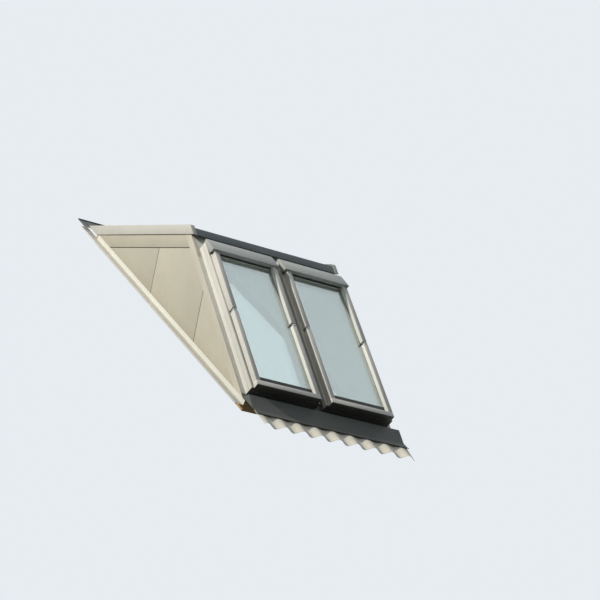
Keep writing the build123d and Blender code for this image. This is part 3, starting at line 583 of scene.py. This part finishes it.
# which finish, record slot and edge radius each node takes
dressing = {
    "carcass_timber": {"finish": "sawnTimber", "radius": 0.002, "nodes": [
        "base_rail_lower", "base_rail_upper", "base_rail_left", "base_rail_right", "cheek_frame_left",
        "cheek_frame_right", "front_sill", "front_header", "front_post_middle", "roof_joists"]},
    "deck_board": {"finish": "deckBoard", "radius": 0, "nodes": ["roof_deck"]},
    "mineral_wool": {"finish": "mineralWool", "radius": 0, "nodes": ["cheek_insulation", "roof_insulation"]},
    "lining_board": {"finish": "liningBoard", "radius": 0.0008, "nodes": [
        "ceiling_lining", "cheek_lining_left", "cheek_lining_right", "window_reveal"]},
    "roof_sheet": {"finish": "roofSheet", "radius": 0, "nodes": ["roof_covering"]},
    "cheek_panel": {"finish": "cheekPanel", "radius": 0.0008, "nodes":
                    ["cheek_fascia_" + side for side in bothSides]
                    + [f"cheek_panel_{side}_{part}" for side in bothSides
                       for part in ("front", "middle", "rear")]},
    "side_trim": {"finish": "sideTrim", "radius": 0.0007, "nodes": ["edge_trim_left", "edge_trim_right"]},
    "front_trim": {"finish": "frontTrim", "radius": 0.0007, "nodes": [
        "edge_trim_front_left", "edge_trim_front_right"]},
    "flashing": {"finish": "flashing", "radius": 0.0005, "nodes": [
        "corner_flashing_left", "corner_flashing_right", "head_flashing", "side_soaker_left",
        "side_soaker_right"]},
    "gutter": {"finish": "gutter", "slot": "flashing", "radius": 0.0005, "nodes": ["centre_gutter"]},
    "apron_metal": {"finish": "apron", "radius": 0.0005, "nodes": ["apron_sheet"]},
    "window_timber": {"finish": "windowTimber", "radius": 0.002, "nodes":
                      [f"{piece}_{side}" for side in bothSides for piece in ("window_frame", "sash")]},
    "window_cover": {"finish": "cover", "radius": 0.0005, "nodes":
                     [f"{piece}_{side}" for side in bothSides for piece in ("sash_covers", "frame_covers")]},
    "window_hood": {"finish": "hood", "slot": "window_cover", "radius": 0.0005, "nodes":
                    ["window_hood_" + side for side in bothSides]},
    "window_glass": {"finish": "windowGlass", "radius": 0, "nodes": ["glazing_" + side for side in bothSides]},
    "seal_rubber": {"finish": "sealRubber", "radius": 0, "nodes": [
        "glazing_seal_" + side for side in bothSides]},
    "fitting_steel": {"finish": "fittingSteel", "radius": 0.0003, "nodes": []},    # all that is left
    "bar_metal": {"finish": "barMetal", "radius": 0.0003, "nodes": [
        "control_bar_" + side for side in bothSides]},
}
dressed = {name for group in dressing.values() for name in group["nodes"]} | {"apron_skirt"}
dressing["fitting_steel"]["nodes"] = sorted(set(nodes) - dressed)
print("fittings:", dressing["fitting_steel"]["nodes"])


rounding = {
    "merge": 0.000005, "flat": math.radians(0.5),    # what counts as one corner, and as one face
    "segments": 2, "from": math.radians(30), "sharp": math.radians(40),
}


def mergedCopy(name):
    # a CAD node's triangles, joined into clean faces
    work = bmesh.new()
    work.from_mesh(nodes[name].data)
    bmesh.ops.remove_doubles(work, verts=work.verts, dist=rounding["merge"])
    bmesh.ops.dissolve_limit(work, angle_limit=rounding["flat"], verts=work.verts, edges=work.edges)
    return work


def islands(work):
    # in the mesh's own order, so that each run finds them alike
    left = dict.fromkeys(work.verts)
    found = []
    while left:
        start = next(iter(left))
        del left[start]
        group, queue = [start], [start]
        while queue:
            for edge in queue.pop().link_edges:
                for other in edge.verts:
                    if other in left:
                        del left[other]
                        group.append(other)
                        queue.append(other)
        found.append(group)
    return found


def firstCorner(verts):
    return min(tuple(round(value, 4) for value in vert.co) for vert in verts)


def grainAxes(points):
    # along the timber, then square to it, with signs that don't depend on the solver
    along = Vector(numpy.linalg.svd(points)[2][0])
    if along.dot(Vector((1, 2, 4))) < 0:
        along.negate()
    aside = Vector((1, 0, 0)) if abs(along.x) < 0.7 else Vector((0, 0, 1))
    across = along.cross(aside).normalized()
    return numpy.array([along[:], across[:], along.cross(across)[:]])


def addMember(work, seed):
    # grain coordinates: each separate timber gets its own axes and a place of its own in the pattern
    chance = random.Random(seed)
    layer = work.verts.layers.float_vector.new("member")
    tone = work.verts.layers.float.new("tone")
    for group in sorted(islands(work), key=firstCorner):
        points = numpy.array([vert.co[:] for vert in group])
        centre = points.mean(axis=0)
        axes = grainAxes(points - centre)
        offset = [chance.uniform(0, 40) for _ in range(3)]
        value = chance.random()
        for vert, point in zip(group, (points - centre) @ axes.T):
            vert[layer] = Vector(point) + Vector(offset)
            vert[tone] = value


def finishedMesh(piece):
    # the evaluated mesh takes the modifiers' place
    depsgraph = bpy.context.evaluated_depsgraph_get()
    mesh = bpy.data.meshes.new_from_object(piece.evaluated_get(depsgraph), preserve_all_data_layers=True,
                                           depsgraph=depsgraph)
    piece.modifiers.clear()
    old = piece.data
    piece.data = mesh
    bpy.data.meshes.remove(old)
    return mesh


def addPiece(name, mesh, material):
    piece = bpy.data.objects.new(name, mesh)
    bpy.context.scene.collection.objects.link(piece)
    mesh.materials.clear()
    mesh.materials.append(material)
    return piece


def bodyOf(name):
    return nodes[name]["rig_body"]


def onFront(x, along, out):
    return frontFoot + frontUp * along + frontOut * out + Vector((x, 0, 0))


accentLimits = {
    "head": 1.77,          # along the front, from here the cover above the pane
    "headHalfWidth": 0.317,
    "foot": 0.12,          # along the front, below here what looks down it
    "cheekFace": 0.870,    # from the middle of the dormer
    "frameFace": 0.80,
}


# the faces that take the painted shade on the covers: the head under the hood, and the undersides at the foot
def headOrFoot(centre, normal):
    limits = accentLimits
    along = (centre - frontFoot).dot(frontUp)
    across = abs(abs(centre.x) - windowMiddles["right"])
    return (along > limits["head"] and across < limits["headHalfWidth"]) or (
        along < limits["foot"] and normal.dot(frontUp) < -0.6)


def onCheek(centre, normal):
    return abs(centre.x) > accentLimits["cheekFace"] and abs(normal.x) > 0.9


def outerFace(centre, normal):
    return abs(centre.x) > accentLimits["frameFace"] and abs(normal.x) > 0.9 and centre.x * normal.x > 0


# faces of a node that wear a second finish, by the node's name without its last word
accents = {
    # on the covers the second finish is painted shade, dark where the hood and bottom bar cast shade
    "sash_covers": {"finish": "paintedShadeCover", "where": headOrFoot},
    "frame_covers": {"finish": "paintedShadeCover", "where": headOrFoot},
    "corner_flashing": {"finish": "panelReturn", "where": onCheek},
    "cheek_frame": {"finish": "membrane", "where": outerFace},
    "cheek": {"finish": "membrane", "where": outerFace},
}


def addAccent(mesh, name):
    accent = accents.get(name.rsplit("_", 1)[0])
    if accent:
        mesh.materials.append(finishes[accent["finish"]])
        for face in mesh.polygons:
            if accent["where"](face.center, face.normal):
                face.material_index = 1


def roundNode(name, settings, seed):
    work = mergedCopy(name)
    if "Timber" in settings["finish"]:
        addMember(work, seed)
    mesh = bpy.data.meshes.new(name + "Finished")
    work.to_mesh(mesh)
    work.free()
    piece = addPiece(name + "Finished", mesh, finishes[settings["finish"]])
    bevel = piece.modifiers.new("edges", "BEVEL")
    bevel.width = settings["radius"]
    bevel.segments = rounding["segments"]
    bevel.limit_method = "ANGLE"
    bevel.angle_limit = rounding["from"]
    bevel.harden_normals = False
    finishedMesh(piece).shade_smooth()
    piece.data.set_sharp_from_angle(angle=rounding["sharp"])
    addAccent(piece.data, name)
    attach(piece, bodyOf(name))
    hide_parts(name)


for slotName, settings in dressing.items():
    for count, name in enumerate(settings["nodes"]):
        if settings["radius"]:
            roundNode(name, settings, count + 1)
        else:
            node = nodes[name]
            node.data.materials.clear()
            node.data.materials.append(finishes[settings["finish"]])
            addAccent(node.data, name)
print("nodes dressed")


# node tree helpers for shapes that follow a rule
def newShape(name, inputs):
    tree = bpy.data.node_groups.new(name, "GeometryNodeTree")
    tree.interface.new_socket("Geometry", in_out="INPUT", socket_type="NodeSocketGeometry")
    tree.interface.new_socket("Geometry", in_out="OUTPUT", socket_type="NodeSocketGeometry")
    for label, kind in inputs.items():
        tree.interface.new_socket(label, in_out="INPUT", socket_type="NodeSocket" + kind)
    return tree, tree.nodes.new("NodeGroupInput"), tree.nodes.new("NodeGroupOutput")


def addStep(tree, kind, sockets=None, **settings):
    node = tree.nodes.new(kind)
    for name, value in settings.items():
        setattr(node, name, value)
    for key, value in (sockets or {}).items():
        if isinstance(value, bpy.types.NodeSocket):
            tree.links.new(value, node.inputs[key])
        else:
            node.inputs[key].default_value = value
    return node


def sums(tree, operation, *values):
    return addStep(tree, "ShaderNodeMath", dict(enumerate(values)), operation=operation).outputs[0]


def growShape(name, mesh, tree, values):
    # an object that carries the tree, turned into a plain mesh
    piece = bpy.data.objects.new(name, mesh)
    bpy.context.scene.collection.objects.link(piece)
    modifier = piece.modifiers.new("shape", "NODES")
    modifier.node_group = tree
    for item in tree.interface.items_tree:
        if item.item_type == "SOCKET" and item.in_out == "INPUT" and item.name in values:
            modifier[item.identifier] = values[item.name]
    finishedMesh(piece)
    return piece


# apron skirt: pleated sheet dressed into the pans of the tiles, capital keys being its tree's inputs
skirt = {
    "Width": 1.75, "Length": 0.245, "Columns": 1031, "Rows": 15, "Sheet": 0.002,
    "Tile Pitch": 0.204, "Pan Place": 0.076, "Head Dip": 0.0004, "Foot Dip": 0.0428,
    "Pleat Pitch": 0.0085, "Pleat Depth": 0.0007, "Dressing": 0.0005, "Seed": 3.0,
    "Strip": 0.030,          # flat strip at the head
    "middleAlong": -0.3875,  # middle of the sheet along the roof, from the lower rail
    "level": 0.113950,       # its rolls above the rafters
    "sharp": math.radians(50),
}


def skirtTree():
    tree, given, result = newShape("skirtShape", {
        "Width": "Float", "Length": "Float", "Columns": "Int", "Rows": "Int", "Sheet": "Float",
        "Tile Pitch": "Float", "Pan Place": "Float", "Head Dip": "Float", "Foot Dip": "Float",
        "Pleat Pitch": "Float", "Pleat Depth": "Float", "Dressing": "Float", "Seed": "Float", "Strip": "Float",
        "Turn": "Vector", "Shift": "Vector", "Material": "Material"})
    value = given.outputs
    grid = addStep(tree, "GeometryNodeMeshGrid", {"Size X": value["Width"], "Size Y": value["Length"],
                                                  "Vertices X": value["Columns"], "Vertices Y": value["Rows"]})
    where = addStep(tree, "GeometryNodeInputPosition").outputs[0]
    axes = addStep(tree, "ShaderNodeSeparateXYZ", {0: where})
    down = sums(tree, "SUBTRACT", 0.5, sums(tree, "DIVIDE", axes.outputs["Y"], value["Length"]))
    dip = addStep(tree, "ShaderNodeMapRange", {"Value": down, "To Min": value["Head Dip"],
                                               "To Max": value["Foot Dip"]}).outputs[0]
    turn = sums(tree, "SUBTRACT", axes.outputs["X"], value["Pan Place"])
    turn = sums(tree, "DIVIDE", turn, value["Tile Pitch"])
    wave = sums(tree, "COSINE", sums(tree, "MULTIPLY", turn, math.tau))
    wave = sums(tree, "MULTIPLY", sums(tree, "MULTIPLY_ADD", wave, 0.5, 0.5), dip)
    pleat = sums(tree, "DIVIDE", axes.outputs["X"], value["Pleat Pitch"])
    pleat = sums(tree, "COSINE", sums(tree, "MULTIPLY", pleat, math.tau))
    pleat = sums(tree, "MULTIPLY", sums(tree, "MULTIPLY_ADD", pleat, 0.5, 0.5), value["Pleat Depth"])
    noise = addStep(tree, "ShaderNodeTexNoise", {"Vector": where, "W": value["Seed"], "Scale": 16.0,
                                                 "Detail": 3.0}, noise_dimensions="4D").outputs[0]
    dents = sums(tree, "MULTIPLY", sums(tree, "MULTIPLY", noise, value["Dressing"]), down)
    depth = sums(tree, "ADD", sums(tree, "ADD", wave, pleat), sums(tree, "ADD", dents, value["Sheet"]))
    offset = addStep(tree, "ShaderNodeCombineXYZ", {"Z": sums(tree, "MULTIPLY", depth, -1.0)}).outputs[0]
    under = addStep(tree, "GeometryNodeSetPosition", {
        "Geometry": grid.outputs["Mesh"], "Offset": offset}).outputs[0]
    upwards = addStep(tree, "ShaderNodeCombineXYZ", {"Z": 1.0}).outputs[0]
    body = addStep(tree, "GeometryNodeExtrudeMesh", {
        "Mesh": under, "Offset": upwards, "Offset Scale": value["Sheet"], "Individual": False},
                   mode="FACES").outputs["Mesh"]
    underside = addStep(tree, "GeometryNodeFlipFaces", {"Mesh": under}).outputs[0]
    size = addStep(tree, "ShaderNodeCombineXYZ", {"X": value["Width"], "Y": value["Strip"],
                                                  "Z": value["Sheet"]})
    strip = addStep(tree, "GeometryNodeMeshCube", {"Size": size.outputs[0]}).outputs["Mesh"]
    back = sums(tree, "MULTIPLY", sums(tree, "SUBTRACT", value["Length"], value["Strip"]), 0.5)
    back = addStep(tree, "ShaderNodeCombineXYZ", {"Y": back}).outputs[0]
    strip = addStep(tree, "GeometryNodeTransform", {"Geometry": strip, "Translation": back}).outputs[0]
    joined = tree.nodes.new("GeometryNodeJoinGeometry")
    for part in (body, underside):
        tree.links.new(part, joined.inputs[0])
    closed = addStep(tree, "GeometryNodeMergeByDistance", {"Geometry": joined.outputs[0], "Distance": 0.00001})
    whole = tree.nodes.new("GeometryNodeJoinGeometry")
    for part in (closed.outputs[0], strip):
        tree.links.new(part, whole.inputs[0])
    placed = addStep(tree, "GeometryNodeTransform", {"Geometry": whole.outputs[0], "Rotation": value["Turn"],
                                                     "Translation": value["Shift"]}).outputs[0]
    realized = addStep(tree, "GeometryNodeRealizeInstances", {"Geometry": placed}).outputs[0]
    dressed = addStep(tree, "GeometryNodeSetMaterial", {"Geometry": realized, "Material": value["Material"]})
    tree.links.new(dressed.outputs[0], result.inputs[0])
    return tree


def makeSkirt():
    roofUp = Vector((0, math.cos(slopes["roof"]), math.sin(slopes["roof"])))
    roofOut = Vector((0, -math.sin(slopes["roof"]), math.cos(slopes["roof"])))
    values = {key: value for key, value in skirt.items() if key[0].isupper()}
    values["Turn"] = (slopes["roof"], 0.0, 0.0)
    values["Shift"] = tuple(roofUp * skirt["middleAlong"] + roofOut * skirt["level"])
    values["Material"] = finishes["skirt"]
    piece = growShape("apronSkirtFinished", bpy.data.meshes.new("apronSkirt"), skirtTree(), values)
    piece.data.shade_smooth()
    piece.data.set_sharp_from_angle(angle=skirt["sharp"])
    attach(piece, bodyOf("apron_skirt"))
    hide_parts("apron_skirt")
    print("skirt:", len(piece.data.polygons), "faces")


makeSkirt()


# screws that hold the window covers: metres along the front, out of it and from the window's middle
screws = {
    "reach": 0.08, "sharp": math.radians(35),
    "head": {"radius": 0.0042, "height": 0.0019, "recess": 0.0016, "segments": 12},
    "sashCover": {"alongs": (0.16, 0.52, 0.90), "out": 0.148, "start": 0.40},
    "frameCover": {"alongs": (1.12, 1.42, 1.70), "out": 0.148, "start": 0.40},
    "cladding": {"alongs": (0.30, 0.78, 1.30, 1.74), "out": 0.085, "start": 0.425},
    "hoodCap": {"alongs": (1.87, 1.94), "out": 0.122, "start": 0.43},
}


def screwHead():
    # low domed head with a recess, its seat a little below the surface
    settings = screws["head"]
    radius, height, recess = settings["radius"], settings["height"], settings["recess"]
    rings = ((radius, -0.0003), (radius, height * 0.35), (radius * 0.72, height * 0.88),
             (recess, height), (recess * 0.85, height * 0.45))
    work = bmesh.new()
    loops = []
    for size, level in rings:
        loops.append([work.verts.new((size * math.cos(math.tau * step / settings["segments"]),
                                      size * math.sin(math.tau * step / settings["segments"]), level))
                      for step in range(settings["segments"])])
    for low, high in zip(loops, loops[1:]):
        for step in range(settings["segments"]):
            after = (step + 1) % settings["segments"]
            work.faces.new((low[step], low[after], high[after], high[step]))
    work.faces.new(list(reversed(loops[0])))
    work.faces.new(loops[-1])
    mesh = bpy.data.meshes.new("screwHead")
    work.to_mesh(mesh)
    work.free()
    return mesh


def surfaceOf(name):
    mesh = nodes[name].data
    return BVHTree.FromPolygons([vert.co for vert in mesh.vertices],
                                [tuple(face.vertices) for face in mesh.polygons])


def screwTree():
    tree, given, result = newShape("screwRow", {"Head": "Object", "Material": "Material"})
    outward = addStep(tree, "GeometryNodeInputNamedAttribute", {"Name": "outward"}, data_type="FLOAT_VECTOR")
    turned = addStep(tree, "FunctionNodeAlignRotationToVector", {"Vector": outward.outputs["Attribute"]},
                     axis="Z")
    spun = addStep(tree, "FunctionNodeRandomValue", {"Max": (0.0, 0.0, math.tau), "Seed": 5},
                   data_type="FLOAT_VECTOR")
    spin = addStep(tree, "FunctionNodeEulerToRotation", {0: spun.outputs["Value"]}).outputs[0]
    rotation = addStep(tree, "FunctionNodeRotateRotation", {"Rotation": turned.outputs[0], "Rotate By": spin},
                       rotation_space="LOCAL").outputs[0]
    head = addStep(tree, "GeometryNodeObjectInfo", {"Object": given.outputs["Head"]}).outputs["Geometry"]
    placed = addStep(tree, "GeometryNodeInstanceOnPoints", {
        "Points": given.outputs["Geometry"], "Instance": head, "Rotation": rotation}).outputs[0]
    realized = addStep(tree, "GeometryNodeRealizeInstances", {"Geometry": placed}).outputs[0]
    dressed = addStep(tree, "GeometryNodeSetMaterial", {
        "Geometry": realized, "Material": given.outputs["Material"]})
    tree.links.new(dressed.outputs[0], result.inputs[0])
    return tree


def screwPlaces():
    # points on the covers, with the way that each screw faces, for each body
    found = {}
    rows = (("sashCover", "sash_covers_"), ("frameCover", "frame_covers_"), ("cladding", "frame_covers_"),
            ("hoodCap", "window_hood_"))
    for side, centre in windowMiddles.items():
        for row, prefix in rows:
            name = prefix + side
            surface, settings = surfaceOf(name), screws[row]
            for along in settings["alongs"]:
                for sign in (-1, 1):
                    start = onFront(centre + sign * settings["start"], along, settings["out"])
                    spot, normal, _, _ = surface.ray_cast(start, Vector((-sign, 0, 0)), screws["reach"])
                    if spot is None or abs(normal.x) < 0.9:
                        print("no seat for a screw:", row, side, sign, along)
                        continue
                    found.setdefault(bodyOf(name), []).append((spot, Vector((sign, 0, 0))))
    return found


def makeScrews():
    head = bpy.data.objects.new("screwHead", screwHead())
    bpy.context.scene.collection.objects.link(head)
    tree = screwTree()
    for body, places in screwPlaces().items():
        mesh = bpy.data.meshes.new("screws_" + body)
        mesh.from_pydata([spot for spot, _ in places], [], [])
        outward = mesh.attributes.new("outward", "FLOAT_VECTOR", "POINT")
        for item, (_, way) in zip(outward.data, places):
            item.vector = way
        piece = growShape("screws_" + body, mesh, tree, {"Head": head, "Material": finishes["fittingSteel"]})
        piece.data.shade_smooth()
        piece.data.set_sharp_from_angle(angle=screws["sharp"])
        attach(piece, body)
        print("screws on", body, len(places), "faces", len(piece.data.polygons))
    bpy.data.objects.remove(head)


makeScrews()
